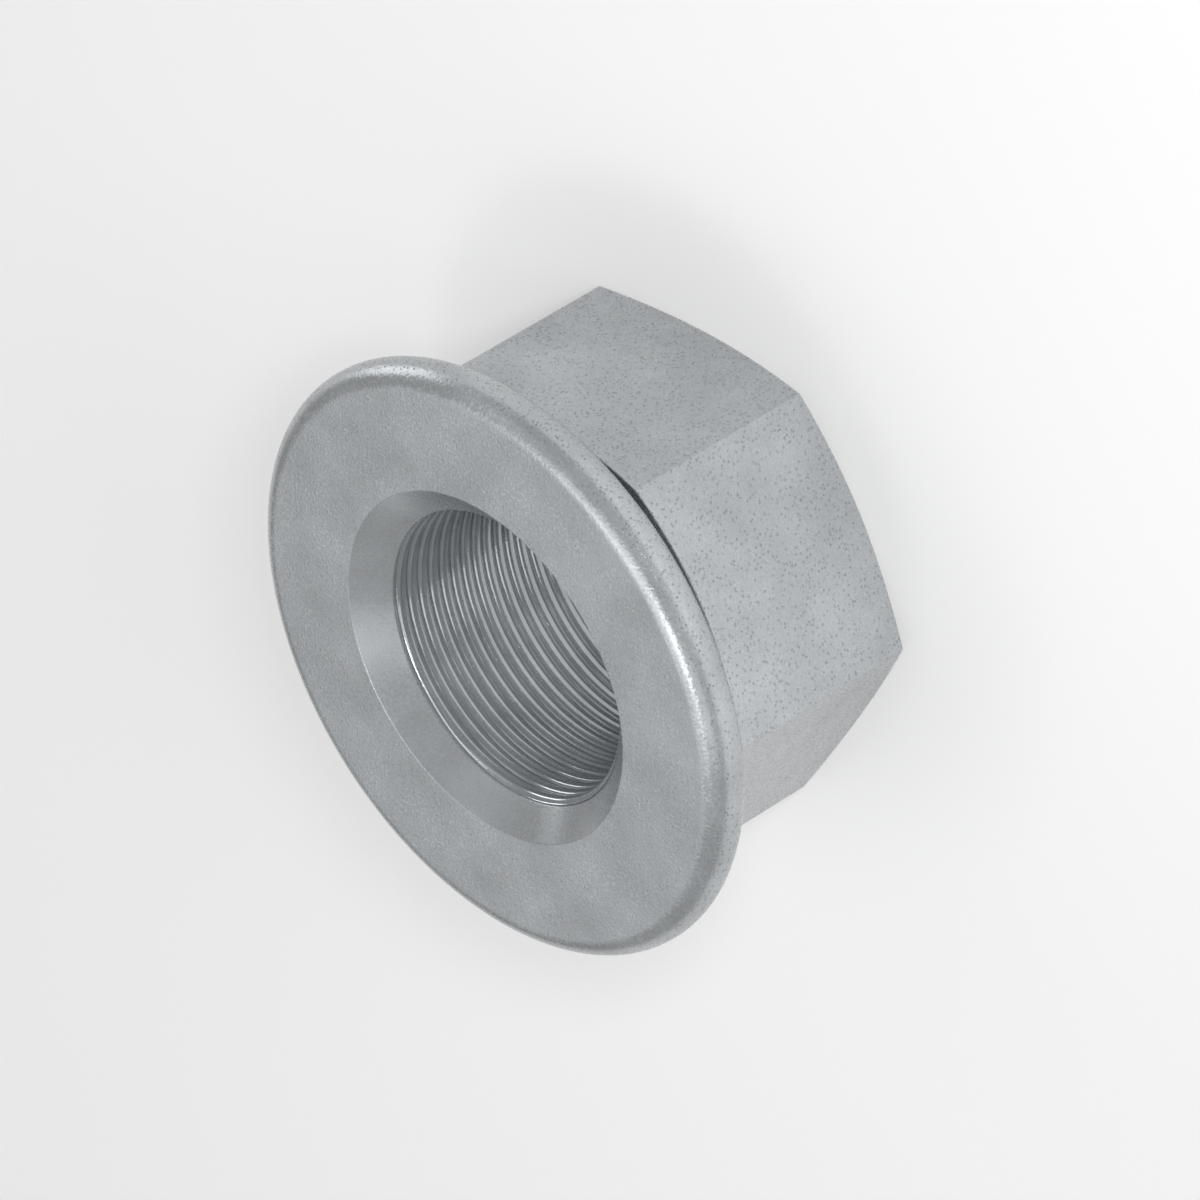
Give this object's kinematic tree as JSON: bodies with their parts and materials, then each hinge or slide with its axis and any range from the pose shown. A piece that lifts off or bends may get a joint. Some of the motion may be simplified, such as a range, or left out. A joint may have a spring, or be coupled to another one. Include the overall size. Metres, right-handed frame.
{
  "type": "spherical collar nut",
  "caption": "Hexagon nut with a wide round-edged collar, a countersunk mouth and a fine internal thread; the collar's flat face clamps the joint",
  "frame": {"origin": "centre of the hexagon's end face, on the surface that the nut stands on", "axes": "+Z along the thread's axis, from the hexagon's end to the bearing face of the collar; +Y square to one flat of the hexagon, +X through a corner"},
  "size_m": [0.0432, 0.0432, 0.0215],
  "materials": {
    "zinc_steel": "matt zinc coating with a fine mottled grain"
  },
  "bodies": {
    "root": {"nut": "zinc_steel"}
  },
  "joints": []
}
